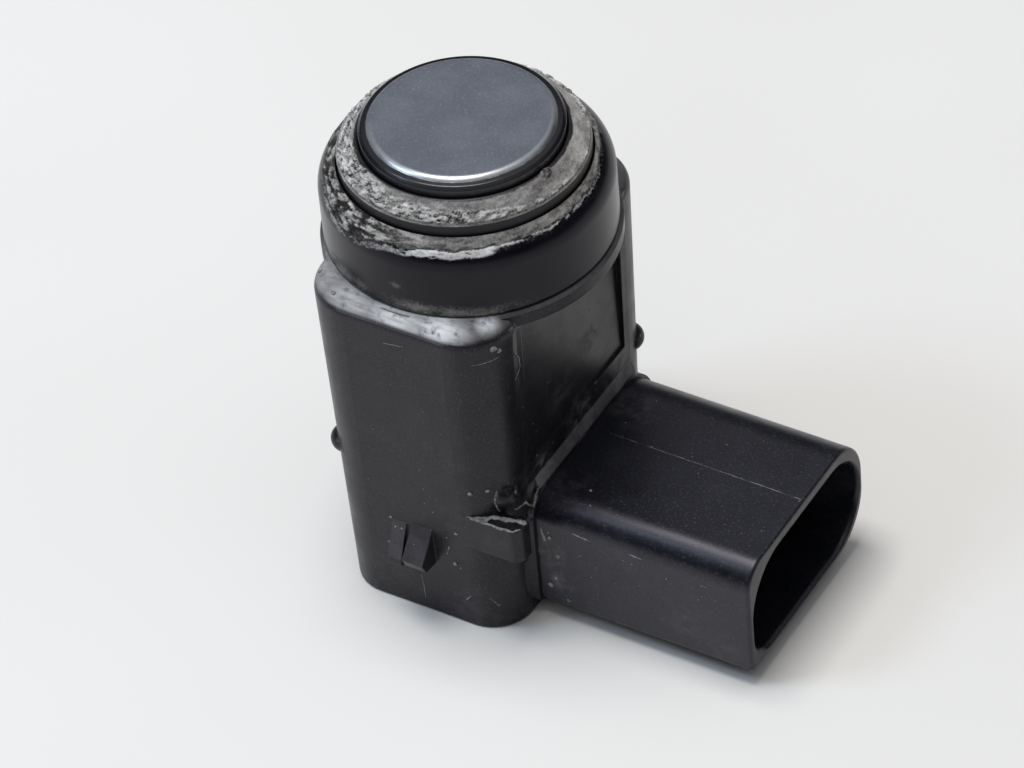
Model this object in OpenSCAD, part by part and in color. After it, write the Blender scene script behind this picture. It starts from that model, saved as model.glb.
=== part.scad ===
// Ultrasonic parking sensor: a round head in a rubber ring, a flat-sided housing and a side socket.
// The origin lies on the head's axis in the plane of the rear face.
// +Z runs to the membrane, +X to the socket.

/* [Head] */
// Diameter of the membrane cup
cup_d = 15.2; // [13:0.1:18]
// Height of the membrane cup from its rim to its face
cup_height = 8.7; // [7.5:0.1:11]
// Side wall of the membrane cup
cup_wall = 1; // [0.6:0.1:1.4]
// Thickness of the vibrating face
cup_face = 0.8; // [0.5:0.1:1.1]
// Width of the sloping border round the flat face
face_border = 1.05; // [0.5:0.05:1.5]
// Fall of the sloping border
face_fall = 0.25; // [0.1:0.05:0.6]
// Width of the rubber ring round the cup
ring_width = 1.75; // [1.2:0.05:2.5]
// Thickness of the rubber lip that the cup stands on
ring_lip = 1.1; // [0.8:0.1:1.8]
// How far the face stands above the inner edge of the rubber ring
face_proud = 1; // [0.6:0.1:2]
// Fall of the rubber ring's sloping top
ring_fall = 1.4; // [0.6:0.1:1.6]
// Wall of the collar
collar_wall = 1.5; // [1.2:0.05:2]
// Height of the collar above its parting line
collar_height = 6.7; // [6:0.1:7.2]
// Radius of the collar's rounded shoulder
shoulder_r = 2.4; // [1.5:0.1:2.8]
// Small bevel on both sides of the parting line
parting_bevel = 0.2; // [0.1:0.05:0.3]

/* [Housing] */
// Size of the housing along the socket, at its rear face
housing_depth = 14.9; // [13:0.1:18]
// Draft of the housing's sides in degrees
draft = 1.5; // [0.5:0.1:2]
// How far the round flange stands out past the collar
flange_step = 0.25; // [0.1:0.05:0.5]
// Width of the ledge beside the flange
ledge = 0.85; // [0.6:0.05:2]
// Height of the housing up to the parting line
housing_height = 30.2; // [26:0.1:36]
// Radius of the upright corners at the rear face
corner_r = 3.3; // [2.6:0.1:4.2]
// Radius of the rounded top edge
top_round = 1.3; // [0.6:0.1:1.8]
// Wall thickness
wall = 1.6; // [1.3:0.1:2]
// Thickness of the roof under the head
roof = 2.2; // [1.6:0.1:3]
// Height of the round flange under the collar
flange_h = 1.2; // [0.8:0.1:1.6]
// Height of the rim that centres the collar
locating_rim = 1.3; // [0.8:0.1:2]
// Depth of the recess in the socket side, under the flange
recess = 0.6; // [0.4:0.1:0.9]
// Width of the corner posts beside the recess
post_w = 4.1; // [3:0.1:6]
// Depth of the sealing layer in the rear mouth
potting_t = 1.8; // [1:0.1:2.2]
// How far the sealing layer lies inside the rear edge
potting_inset = 0.4; // [0.2:0.1:0.8]

/* [Socket] */
// Width of the shroud
socket_w = 17.8; // [16:0.1:20]
// Height of the shroud
socket_h = 10.15; // [9.6:0.05:11]
// Length of the shroud from its root to its mouth
socket_reach = 18.1; // [15:0.1:24]
// Height of the shroud above the rear face
socket_lift = 1.45; // [1:0.05:3]
// Sideways offset of the shroud from the head's axis
socket_offset = 1.15; // [0:0.05:1.5]
// Side and lower wall of the shroud
socket_wall = 0.75; // [0.65:0.05:1.2]
// Upper wall of the shroud
socket_roof = 1.2; // [0.7:0.05:1.5]
// Depth of the plug space
socket_depth = 14.4; // [12:0.1:15]
// Radius of the shroud's upper edge on the +Y side
socket_top_r = 4.3; // [2.5:0.1:4.6]
// Radius of the shroud's upper edge on the -Y side
socket_near_r = 2.2; // [1:0.1:4]
// Radius of the shroud's lower edge on the +Y side
socket_foot_r = 4.2; // [1:0.1:4.6]
// Radius of the lower edge on the -Y side, kept sharp so that a plug fits one way round
socket_key_r = 0.35; // [0.2:0.05:0.8]
// Radius of the plug space's lower corner on the -Y side
plug_key_r = 2.2; // [1.5:0.1:3.5]
// Lead-in bevel inside the mouth
mouth_bevel = 0.35; // [0.15:0.05:0.5]
// Height of the raised pad that the shroud seats on
pad_t = 0.55; // [0.3:0.05:0.8]
// Margin of the pad round the shroud
pad_margin = 0.3; // [0.2:0.05:0.6]
// Height of the sloping strip above the pad
pad_slope = 0.95; // [0.4:0.05:1.4]
// Thickness of a terminal pin
pin_t = 0.64; // [0.5:0.02:0.8]
// Distance between neighbouring pins
pin_pitch = 3.5; // [2.5:0.1:4]
// Free length of a pin in the plug space
pin_free = 7.5; // [6:0.1:9]

/* [Outside details] */
// Width of a latch lug
lug_w = 3.45; // [2.8:0.05:5]
// Offset of a lug from the head's axis, away from the socket
lug_offset = 0.3; // [0:0.05:1]
// Height of the upper edge of a lug
lug_top = 9.05; // [8:0.05:12]
// Height of a lug from its upper to its lower edge
lug_h = 3.45; // [2.6:0.05:4.5]
// How far a lug stands out
lug_proud = 1.85; // [1.2:0.05:2.6]
// Width of the ramp strip along one side of a lug
lug_strip = 1.2; // [0.8:0.1:1.6]
// Width of the groove between the strip and the block beside it
lug_groove = 0.45; // [0.2:0.05:0.8]
// How far the block's upper edge stands out
lug_brow = 0.55; // [0.3:0.05:0.9]
// Radius of the guide nubs at the corners
nub_r = 1.15; // [0.9:0.05:1.6]
// How far a guide nub stands out
nub_proud = 0.2; // [0.1:0.05:0.6]
// Height of the guide nubs
nub_z = 13.5; // [12:0.1:16]
// Distance of a guide nub from the end of the housing
nub_inset = 2.1; // [1.9:0.1:3.5]
// Height of the upper face of the shelf beside the socket
shelf_top = 11.85; // [11:0.05:13]
// Thickness of the shelf
shelf_t = 3.15; // [1.5:0.05:3.5]
// How far the shelf reaches past the socket side
shelf_reach = 1.4; // [0.6:0.1:2.2]
// Depth of the shelf
shelf_depth = 1.55; // [1.2:0.05:2.4]
// Radius of the shelf's free corner
shelf_r = 0.9; // [0.3:0.05:1.1]

/* [Inside] */
// Thickness of the circuit board
board_t = 1; // [0.8:0.1:1.6]
// Place of the circuit board's middle along the socket
board_x = -0.8; // [-1.4:0.1:0]
// Room between the circuit board and the roof
board_headroom = 5; // [3:0.1:7]
// Margin between the piezo disc and the cup's wall
piezo_margin = 2.4; // [2.1:0.1:3.2]
// Thickness of the piezo disc
piezo_t = 0.4; // [0.2:0.05:0.6]
// Thickness of the damping foam
foam_t = 3.2; // [2:0.1:4]
// Radius of the two transducer leads
lead_r = 0.3; // [0.2:0.05:0.4]
// Diameter of the transformer's ferrite core
core_d = 7; // [5.5:0.1:8]
// Height of the transformer
core_h = 3.1; // [2.4:0.1:3.4]
// Diameter of the storage capacitor
can_d = 4.6; // [3.5:0.1:5.2]
// Height of the storage capacitor
can_h = 3.6; // [3:0.1:4.4]
// Length of the driver chip's body
chip_l = 5; // [4:0.1:5.6]
// Width of the driver chip's body
chip_w = 3.9; // [3:0.1:4.4]
// Height of the driver chip's body
chip_h = 1.4; // [0.9:0.1:1.8]
// Length of a filter capacitor
capacitor_l = 1.8; // [1.2:0.1:2]
// Width of a filter capacitor
capacitor_w = 1.2; // [0.8:0.1:1.4]
// Height of a filter capacitor
capacitor_h = 1; // [0.6:0.1:1.4]
// Length of a resistor
resistor_l = 2; // [1.4:0.1:2.2]
// Width of a resistor
resistor_w = 1.2; // [0.8:0.1:1.5]
// Height of a resistor
resistor_h = 0.55; // [0.4:0.05:0.8]
// Length of the protection diode's body
diode_l = 4.2; // [3.4:0.1:4.6]
// Width of the protection diode's body
diode_w = 2.6; // [2:0.1:2.8]
// Height of the protection diode's body
diode_h = 2.1; // [1.6:0.1:2.4]

/* [Hidden] */
$fn = 64;
// Clearance between pieces that slide together
gap = 0.1;

// The head is stacked from the parting line up, and from the cup outwards
cup_r = cup_d / 2;
cup_bore_r = cup_r - cup_wall;
ring_in_r = cup_r + gap / 2;
ring_out_r = cup_r + ring_width;
collar_bore_r = ring_out_r + gap;
collar_r = collar_bore_r + collar_wall;
collar_top = housing_height + collar_height;
shoulder_z = collar_top - shoulder_r;
flange_r = collar_r + flange_step;
rim_wall = 0.7;
rim_out_r = collar_bore_r - gap;
rim_in_r = rim_out_r - rim_wall;
ring_foot_r = rim_in_r - gap;
cup_rim_z = housing_height + ring_lip;
face_z = cup_rim_z + cup_height;
ring_in_z = face_z - face_proud;
ring_out_z = ring_in_z - ring_fall;
edge_round = 0.2;
face_under_z = face_z - cup_face;
piezo_r = cup_bore_r - piezo_margin;
piezo_z = face_under_z - piezo_t;
foam_z = piezo_z - foam_t;
sealant_inset = 0.3;
sealant_z = cup_rim_z + sealant_inset;

// The housing follows the flange at its top and leans inwards towards the rear
lean = tan(draft);
ledge_drop = 0.15;
ledge_z = housing_height - ledge_drop;
half_x = housing_depth / 2;
half_y = flange_r + ledge - lean * ledge_z;
in_x = half_x - wall;
in_y = half_y - wall;
in_r = max(corner_r - wall, 0.4);
roof_z = housing_height - roof;
roof_hole_inset = 0.6;
roof_hole_r = cup_bore_r - roof_hole_inset;
flange_z = housing_height - flange_h;
recess_w = 2 * (half_y - post_w);

// Where the outer faces lie at a height
function side_x(z) = half_x + lean * z;
function side_y(z) = half_y + lean * z;

// The socket is measured from the pad on the housing
socket_z = socket_lift + socket_h / 2;
socket_top = socket_lift + socket_h;
root_x = side_x(socket_z) + pad_t;
mouth_x = root_x + socket_reach;
floor_x = mouth_x - socket_depth;
plug_low = socket_lift + socket_wall;
plug_h = socket_top - socket_roof - plug_low;
plug_z = plug_low + plug_h / 2;
plug_w = socket_w - 2 * socket_wall;
strip_z = socket_top + pad_margin + pad_slope;
recess_rise = 1.9;
recess_z = strip_z + recess_rise;
pin_ys = [for (i = [-1, 0, 1]) socket_offset + i * pin_pitch];

// The spigot behind the shroud clears the sealing layer
potting_top = potting_inset + potting_t;
catch_h = 0.5;
spigot_room = 0.4;
spigot_h = 2 * (plug_z - potting_top - catch_h - spigot_room);
spigot_margin = 1.2;
spigot_w = plug_w - 2 * spigot_margin;
spigot_inset = 1.3;
spigot_x = in_x - spigot_inset;

// The board stands on the sealing layer and slides between ribs in the side walls
board_top = roof_z - board_headroom;
board_half = in_y - gap;
face_x = board_x + board_t / 2;
back_x = board_x - board_t / 2;
guide = 0.8;
lead_x = face_x + lead_r;
lead_margin = 0.8;
signal_y = -lead_margin;
ground_y = roof_hole_r - lead_margin;
lead_overlap = 2.2;
lead_end_z = board_top - lead_overlap;
pin_tail = 0.7;
pin_back_x = back_x - pin_tail;

// The components stand in rows above the pins
parts_rise = 6.9;
parts_z = plug_z + parts_rise;
chip_shift = 0.2;
chip_y = chip_shift - in_y / 2;
can_y = in_y / 2;
part_room = 0.5;
capacitor_z = parts_z + chip_l / 2 + 3 * part_room;
diode_rise = 0.3;
diode_z = potting_top + diode_rise;

// A flat shape drawn with Y to the right and Z up, pushed out along X from x0 to x1
module along_x(x0, x1) {
    translate([x0, 0, 0]) rotate([90, 0, 90]) linear_extrude(x1 - x0) children();
}

// A flat shape drawn with X to the right and Z up, pushed out along Y from y0 to y1
module along_y(y0, y1) {
    translate([0, y1, 0]) rotate([90, 0, 0]) linear_extrude(y1 - y0) children();
}

// Rectangle with rounded corners about the origin
module rounded_rectangle(half_w, half_h, r) {
    square([2 * (half_w - r), 2 * half_h], center = true);
    square([2 * half_w, 2 * (half_h - r)], center = true);
    for (x = [-1, 1], y = [-1, 1])
        translate([x * (half_w - r), y * (half_h - r)]) circle(r);
}

// Upright half section of a drafted block whose upper outer edge is rounded
module edge_section(w, h, r) {
    slant = sqrt(1 + lean * lean);
    cx = w + lean * (h - r) - r * slant;
    cz = h - r;
    polygon([[0, 0], [w, 0], [cx + r / slant, cz - r * lean / slant], [cx, cz], [cx, h], [0, h]]);
    translate([cx, cz]) circle(r);
}

module both_sides() {
    children();
    mirror([1, 0]) children();
}

// Drafted block on z = 0 with upright corners of one radius and an upper edge of another
module soft_block(hx, hy, h, corner, top) {
    for (x = [0, 1], y = [0, 1]) mirror([x, 0, 0]) mirror([0, y, 0])
        translate([hx - corner, hy - corner, 0]) rotate_extrude(angle = 90) intersection() {
            edge_section(corner, h, top);
            square([2 * corner, h]);
        }
    along_x(corner - hx, hx - corner) both_sides() edge_section(hy, h, top);
    for (s = [0, 1]) mirror([s, 0, 0]) along_y(corner - hy, hy - corner) difference() {
        edge_section(hx, h, top);
        square([hx - corner, h]);
    }
}

// Outline of the shroud, grown by a margin: round on the +Y side, tighter above and sharp below on the other
module shroud_outline(grow) {
    w = socket_w / 2;
    h = socket_h / 2;
    top = socket_top_r;
    near = socket_near_r;
    foot = socket_foot_r;
    key = socket_key_r;
    translate([socket_offset, socket_z]) {
        polygon([[-w - grow, h - near], [near - w, h + grow], [w - top, h + grow], [w + grow, h - top],
            [w + grow, foot - h], [w - foot, -h - grow], [key - w, -h - grow], [-w - grow, key - h]]);
        translate([w - top, h - top]) circle(top + grow);
        translate([near - w, h - near]) circle(near + grow);
        translate([w - foot, foot - h]) circle(foot + grow);
        translate([key - w, key - h]) circle(key + grow);
    }
}

// Plug space: a slot with full round ends, squarer in its lower corner on the -Y side
module plug_outline() {
    r = plug_h / 2;
    key = plug_key_r;
    translate([socket_offset, plug_z]) {
        square([plug_w - plug_h, plug_h], center = true);
        for (s = [-1, 1]) translate([s * (plug_w - plug_h) / 2, 0]) circle(r);
        polygon([[-plug_w / 2, 0], [-plug_w / 2, key - r], [key - plug_w / 2, -r], [r - plug_w / 2, -r],
            [r - plug_w / 2, 0]]);
        translate([key - plug_w / 2, key - r]) circle(key);
    }
}

// Bevel that opens the plug space at its mouth: cones at the round corners, slanted bars between them
module mouth_lead_in() {
    r = plug_h / 2;
    run = (plug_w - plug_h) / 2;
    key = plug_key_r;
    bar = [[0, 0], [key, 0], [key + mouth_bevel, mouth_bevel], [0, mouth_bevel]];
    translate([mouth_x - mouth_bevel, socket_offset, plug_z]) rotate([90, 0, 90]) {
        for (s = [-1, 1]) translate([s * run, 0, 0])
            cylinder(r1 = r, r2 = r + mouth_bevel, h = mouth_bevel);
        translate([key - plug_w / 2, key - r, 0]) cylinder(r1 = key, r2 = key + mouth_bevel, h = mouth_bevel);
        translate([-run, r - key, 0]) rotate([90, 0, 90]) linear_extrude(2 * run) polygon(bar);
        translate([run, key - r, 0]) rotate([90, 0, -90]) linear_extrude(run + plug_w / 2 - key) polygon(bar);
        translate([key - plug_w / 2, 0, 0]) rotate([90, 0, 0]) linear_extrude(r - key)
            mirror([1, 0, 0]) polygon(bar);
    }
}

// Latch lug on the -Y side: a ramp strip, a groove and a taller block with a bevelled nose
module latch_lug() {
    foot = lug_top - lug_h;
    nose = foot + lug_h / 3;
    strip_drop = 0.2;
    strip_proud = lug_proud * 0.68;
    back = [[-wall / 2, foot], [-wall / 2, lug_top - 2 * strip_drop]];
    strip = concat(back, [[0, lug_top - strip_drop], [strip_proud, foot + 2 * strip_drop],
        [strip_proud, foot - strip_drop], [0, foot - 2 * strip_drop]]);
    block = concat(back, [[0, lug_top], [lug_brow, lug_top - 4 * strip_drop], [lug_proud, nose],
        [lug_proud * 0.75, foot + strip_drop], [0, foot]]);
    web = concat(back, [[0, lug_top - 2 * strip_drop], [lug_proud / 4, nose], [0, foot]]);
    translate([-lug_w / 2 - lug_offset, -side_y(lug_top), 0]) rotate([90, 0, -90]) {
        translate([0, 0, -lug_strip]) linear_extrude(lug_strip) polygon(strip);
        translate([0, 0, -lug_w]) linear_extrude(lug_w - lug_strip - lug_groove) polygon(block);
        translate([0, 0, -lug_w]) linear_extrude(lug_w) polygon(web);
    }
}

// Shelf beside the socket, with a rounded free corner
module shelf() {
    l = corner_r + lean * shelf_top + shelf_reach;
    translate([half_x - corner_r, -side_y(shelf_top), shelf_top - shelf_t]) linear_extrude(shelf_t) {
        polygon([[0, 0], [l - shelf_r, 0], [l, shelf_r], [l, shelf_depth], [0, shelf_depth]]);
        translate([l - shelf_r, shelf_r]) circle(shelf_r);
    }
}

// Raised pad that the shroud seats on, with a sloping strip above it
module socket_pad() {
    back = half_x - wall / 2;
    near_y = socket_offset - (socket_w - socket_near_r) / 2;
    far_y = socket_offset + (socket_w - socket_top_r) / 2;
    along_x(back, root_x) shroud_outline(pad_margin);
    along_y(near_y, far_y)
        polygon([[back, socket_top - pad_slope], [root_x, socket_top - pad_slope],
            [root_x, socket_top + pad_margin], [side_x(strip_z), strip_z], [back, strip_z]]);
}

// Rib pairs that hold the edges of the circuit board
module board_guides() {
    for (s = [-1, 1], side = [-1, 1]) {
        x = side > 0 ? face_x + gap : back_x - gap - guide;
        y = s > 0 ? in_y - guide : -in_y - wall / 2;
        translate([x, y, potting_top]) cube([guide, guide + wall / 2, roof_z - potting_top + roof / 2]);
    }
}

// One terminal: a square wire with a wedge point at the plug end
module terminal(y) {
    tip = 1.1;
    blunt = pin_t / 5;
    end_x = floor_x + pin_free;
    side = [[pin_back_x, -pin_t / 2], [end_x - tip, -pin_t / 2], [end_x, -blunt], [end_x, blunt],
        [end_x - tip, pin_t / 2], [pin_back_x, pin_t / 2]];
    translate([0, y, plug_z]) intersection() {
        along_y(-pin_t / 2, pin_t / 2) polygon(side);
        translate([0, 0, -pin_t / 2]) linear_extrude(pin_t) polygon(side);
    }
}

// One transducer lead with its solder cone on the board
module lead(y, top) {
    cone = lead_r * 2.6;
    translate([lead_x, y, lead_end_z]) cylinder(r = lead_r, h = top - lead_end_z);
    translate([face_x, y, lead_end_z]) rotate([0, 90, 0]) cylinder(r1 = cone, r2 = lead_r, h = lead_r * 3);
}

// Hole that lets a lead pass through the layers in the cup
module lead_holes() {
    for (y = [signal_y, ground_y]) translate([lead_x, y, 0]) cylinder(r = lead_r + gap, h = face_z);
}

// Small block component with metal end caps, lying on a board face
module chip_component(l, w, h) {
    cap = l / 5;
    step = 0.05;
    translate([0, -l / 2 + cap / 2, step]) cube([h - step, l - cap, w - 2 * step]);
    for (s = [-1, 1]) translate([0, s > 0 ? l / 2 - cap : -l / 2, 0]) cube([h, cap, w]);
}

module housing() color("#37363a") {
    difference() {
        union() {
            soft_block(half_x, half_y, ledge_z, corner_r, top_round);
            translate([0, 0, flange_z]) cylinder(r = flange_r, h = flange_h - parting_bevel);
            translate([0, 0, housing_height - parting_bevel])
                cylinder(r1 = flange_r, r2 = flange_r - parting_bevel, h = parting_bevel);
            translate([0, 0, housing_height]) cylinder(r = rim_out_r, h = locating_rim);
            socket_pad();
            shelf();
            for (x = [-1, 1], y = [-1, 1])
                translate([x * (side_x(nub_z) + nub_proud - nub_r), y * (side_y(nub_z) - nub_inset), nub_z])
                    rotate([0, 90, 0]) sphere(nub_r);
            latch_lug();
            mirror([0, 1, 0]) latch_lug();
        }
        translate([side_x(flange_z) - recess, -recess_w / 2, recess_z])
            cube([recess + wall, recess_w, flange_z - recess_z]);
        translate([0, 0, -gap]) linear_extrude(roof_z + gap) rounded_rectangle(in_x, in_y, in_r);
        translate([0, 0, roof_z - gap]) cylinder(r = roof_hole_r, h = roof + 2 * gap);
        translate([0, 0, housing_height]) cylinder(r = rim_in_r, h = locating_rim + gap);
        along_x(in_x - wall, root_x + wall) translate([socket_offset, plug_z])
            square([spigot_w + 2 * gap, spigot_h + 2 * gap], center = true);
    }
    board_guides();
}

module connector_shroud() color("#2b2d33") difference() {
    union() {
        along_x(root_x, mouth_x) shroud_outline(0);
        along_x(spigot_x, root_x) translate([socket_offset, plug_z])
            square([spigot_w, spigot_h], center = true);
        for (s = [-1, 1]) translate([0, socket_offset, plug_z]) along_y(-spigot_w / 4, spigot_w / 4)
            polygon([[spigot_x, s * (spigot_h / 2 - catch_h)], [spigot_x, s * spigot_h / 2],
                [in_x - gap, s * (spigot_h / 2 + catch_h)], [in_x - gap, s * (spigot_h / 2 - catch_h)]]);
    }
    along_x(floor_x, mouth_x + wall) plug_outline();
    mouth_lead_in();
    for (y = pin_ys) along_x(spigot_x - gap, floor_x + gap) translate([y, plug_z])
        square(pin_t, center = true);
}

module collar() color("#2a2a2d") rotate_extrude() {
    polygon([[collar_bore_r, housing_height], [collar_r - parting_bevel, housing_height],
        [collar_r, housing_height + parting_bevel], [collar_r, shoulder_z], [collar_bore_r, shoulder_z]]);
    intersection() {
        union() {
            translate([collar_r - shoulder_r, shoulder_z]) circle(shoulder_r);
            translate([0, shoulder_z]) square([collar_r - shoulder_r, shoulder_r]);
        }
        translate([collar_bore_r, shoulder_z]) square([collar_wall, shoulder_r]);
    }
}

module decoupling_ring() color("#5b5852") rotate_extrude() polygon([
    [cup_bore_r, housing_height], [ring_foot_r, housing_height],
    [ring_foot_r, housing_height + locating_rim + gap], [ring_out_r, housing_height + locating_rim + gap],
    [ring_out_r, ring_out_z - edge_round], [ring_out_r - edge_round, ring_out_z],
    [ring_in_r + edge_round, ring_in_z], [ring_in_r, ring_in_z - edge_round],
    [ring_in_r, cup_rim_z], [cup_bore_r, cup_rim_z]]);

module membrane_cup() color("#4a4c53") rotate_extrude() polygon([
    [cup_bore_r, cup_rim_z], [cup_r, cup_rim_z], [cup_r, face_z - face_fall - edge_round],
    [cup_r - edge_round, face_z - face_fall], [cup_r - face_border, face_z], [0, face_z],
    [0, face_under_z], [cup_bore_r, face_under_z]]);

module piezo_disc() color("#c9c1a4") translate([0, 0, piezo_z]) cylinder(r = piezo_r, h = piezo_t);

module damping_foam() color("#8f8f92") difference() {
    translate([0, 0, foam_z]) cylinder(r = cup_bore_r - gap, h = foam_t);
    lead_holes();
}

module cup_sealant() color("#d8d6cf") difference() {
    translate([0, 0, sealant_z]) cylinder(r = cup_bore_r - gap, h = foam_z - sealant_z);
    lead_holes();
}

module signal_lead() color("#a23a32") lead(signal_y, piezo_z);

module ground_lead() color("#26262a") lead(ground_y, face_under_z);

module circuit_board() color("#2f6b45") difference() {
    translate([back_x, -board_half, potting_top]) cube([board_t, 2 * board_half, board_top - potting_top]);
    for (y = pin_ys) along_x(back_x - gap, face_x + gap) translate([y, plug_z])
        circle(pin_t / 2 * sqrt(2) + gap);
}

// The ferrite drum lies against the back of the board, with the winding between its two flanges
module transformer_core() color("#3c3a3c") translate([back_x, 0, parts_z]) rotate([0, -90, 0]) {
    flange = core_h / 4;
    cylinder(d = core_d, h = flange);
    cylinder(d = core_d * 0.4, h = core_h);
    translate([0, 0, core_h - flange]) cylinder(d = core_d, h = flange);
}

module transformer_coil() color("#b5743a") translate([back_x, 0, parts_z]) rotate([0, -90, 0])
    translate([0, 0, core_h / 4]) difference() {
        cylinder(d = core_d * 0.88, h = core_h / 2);
        translate([0, 0, -gap]) cylinder(d = core_d * 0.4 + gap, h = core_h);
    }

// Flat package with a row of bent legs along both long sides
module driver_chip() color("#1f1f22") translate([face_x, chip_y, parts_z]) {
    leg_w = 0.4;
    leg_reach = 0.9;
    stand = 0.15;
    translate([stand, -chip_w / 2, -chip_l / 2]) cube([chip_h - stand, chip_w, chip_l]);
    for (s = [0, 1], i = [-1.5:1.5]) translate([0, 0, i * chip_l / 4 - leg_w / 2]) mirror([0, s, 0]) {
        translate([0, chip_w / 2 + leg_reach / 2, 0]) cube([stand, leg_reach / 2, leg_w]);
        translate([0, chip_w / 2 + leg_reach / 3, 0]) cube([chip_h / 2 + stand, stand * 1.4, leg_w]);
        translate([chip_h / 2, chip_w / 2 - stand, 0]) cube([stand, leg_reach / 3 + 2 * stand, leg_w]);
    }
}

// Metal can on a square foot
module storage_capacitor() color("#b9bcc0") translate([face_x, can_y, parts_z]) {
    foot = can_h / 6;
    translate([0, -can_d / 2, -can_d / 2]) cube([foot, can_d, can_d]);
    rotate([0, 90, 0]) cylinder(d = can_d * 0.96, h = can_h);
}

module filter_capacitors() color("#b79a72")
    for (i = [-1:1]) translate([face_x, chip_y + i * (capacitor_l + part_room), capacitor_z])
        chip_component(capacitor_l, capacitor_w, capacitor_h);

module resistors() color("#2b2c30")
    for (s = [-1, 1], i = [-1:1]) translate([back_x, s * (core_d / 2 + resistor_l), 0])
        translate([0, 0, parts_z + i * (resistor_w + 2 * part_room) - resistor_w / 2])
            mirror([1, 0, 0]) chip_component(resistor_l, resistor_w, resistor_h);

// Moulded body on two flat feet
module protection_diode() color("#202124") translate([back_x, -in_y / 2, diode_z]) mirror([1, 0, 0]) {
    stand = 0.1;
    foot_l = diode_l / 4;
    foot_w = diode_w * 0.54;
    translate([stand, -diode_l / 2, 0]) cube([diode_h, diode_l, diode_w]);
    for (s = [-1, 1]) translate([0, (s * diode_l - foot_l) / 2, (diode_w - foot_w) / 2])
        cube([3 * stand, foot_l, foot_w]);
}

module supply_terminal() color("#b8a15a") terminal(pin_ys[0]);
module signal_terminal() color("#b8a15a") terminal(pin_ys[1]);
module ground_terminal() color("#b8a15a") terminal(pin_ys[2]);

module rear_potting() color("#1d1d20")
    translate([0, 0, potting_inset]) linear_extrude(potting_t) rounded_rectangle(in_x, in_y, in_r);

housing();
connector_shroud();
collar();
decoupling_ring();
membrane_cup();
piezo_disc();
damping_foam();
cup_sealant();
signal_lead();
ground_lead();
circuit_board();
transformer_core();
transformer_coil();
driver_chip();
storage_capacitor();
filter_capacitors();
resistors();
protection_diode();
supply_terminal();
signal_terminal();
ground_terminal();
rear_potting();
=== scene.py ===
# %% [markdown]
# # Dressing a parking sensor
# The sensor arrives as bare solids: a flat-sided housing, a side socket and a round head. This
# lesson gives them the look of a part that has spent years behind a bumper: dusty black plastic, a
# satin grey membrane and a rubber ring caked with dried road dirt. Everything is in metres, in the
# solids' own frame, so no piece has to be fitted by eye.

# %% Load the solids
import math
import random
import bmesh
import bpy
from mathutils import Matrix, Vector, noise
from mathutils.bvhtree import BVHTree


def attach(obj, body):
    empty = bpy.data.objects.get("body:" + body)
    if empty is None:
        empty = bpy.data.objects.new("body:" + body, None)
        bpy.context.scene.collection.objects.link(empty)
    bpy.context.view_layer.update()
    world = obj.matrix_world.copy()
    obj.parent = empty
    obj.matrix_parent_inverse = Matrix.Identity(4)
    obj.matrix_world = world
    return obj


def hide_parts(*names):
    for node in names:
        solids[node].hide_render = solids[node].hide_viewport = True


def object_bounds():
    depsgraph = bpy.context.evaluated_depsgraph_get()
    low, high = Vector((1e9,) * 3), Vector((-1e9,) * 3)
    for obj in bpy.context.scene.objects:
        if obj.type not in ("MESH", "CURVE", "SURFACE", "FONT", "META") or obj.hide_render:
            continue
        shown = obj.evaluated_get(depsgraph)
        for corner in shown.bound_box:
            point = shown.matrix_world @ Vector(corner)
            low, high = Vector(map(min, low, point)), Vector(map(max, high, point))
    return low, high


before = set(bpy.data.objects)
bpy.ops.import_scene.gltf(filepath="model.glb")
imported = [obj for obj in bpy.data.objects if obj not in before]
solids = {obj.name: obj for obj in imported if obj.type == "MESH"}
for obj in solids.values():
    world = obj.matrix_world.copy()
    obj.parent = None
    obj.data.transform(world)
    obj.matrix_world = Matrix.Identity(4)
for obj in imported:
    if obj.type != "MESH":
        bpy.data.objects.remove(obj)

MM = 0.001


def in_mm(box):
    return [[round(v / MM, 2) for v in corner] for corner in box]


solid_box = [list(corner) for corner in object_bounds()]
print("solids:", len(solids), "box in mm:", in_mm(solid_box))

# %% [markdown]
# ## The camera
# The picture was taken from the front right, looking down at about forty degrees, with a long lens:
# the edges of the socket hardly converge. A long lens is set by its focal length, and the camera's
# turn is given here by the three directions that point right, up and back in its own view.

# %% Place the camera
view_right = Vector((0.86308, 0.49997, -0.07193))
view_up = Vector((-0.29259, 0.61091, 0.73568))
view_back = Vector((0.41173, -0.61388, 0.67352))
view_place = Vector((177.46, -261.41, 301.39)) * MM
camera = bpy.data.objects.new("photo_camera", bpy.data.cameras.new("photo_camera"))
camera.data.sensor_width = 36
camera.data.lens = 199.2
camera.data.clip_start = 0.01
view_turn = Matrix((view_right, view_up, view_back)).transposed().to_4x4()
camera.matrix_world = Matrix.Translation(view_place) @ view_turn
bpy.context.collection.objects.link(camera)
bpy.context.scene.camera = camera
bpy.context.scene.view_settings.view_transform = "Standard"
print("camera at", [round(v / MM) for v in camera.location], "mm, lens", camera.data.lens)

# %% [markdown]
# ## Shader building blocks
# Every finish below is painted by noise, never by a picture. A few small helpers keep the cells
# short: one reads the position on the object in millimetres, one makes noise of a given grain, and
# one turns a grey value into a mask between two levels.

# %% Shader helpers
def make_finish(name, roughness, specular=0.5, gleam=(1, 1, 1)):
    finish = bpy.data.materials.new(name)
    finish.use_nodes = True
    shader = finish.node_tree.nodes["Principled BSDF"]
    shader.inputs["Roughness"].default_value = roughness
    shader.inputs["Specular IOR Level"].default_value = specular
    shader.inputs["Specular Tint"].default_value = (*gleam, 1)
    return finish, finish.node_tree, shader


def join(tree, value, socket):
    if isinstance(value, bpy.types.NodeSocket):
        tree.links.new(value, socket)
    else:
        socket.default_value = value


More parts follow.
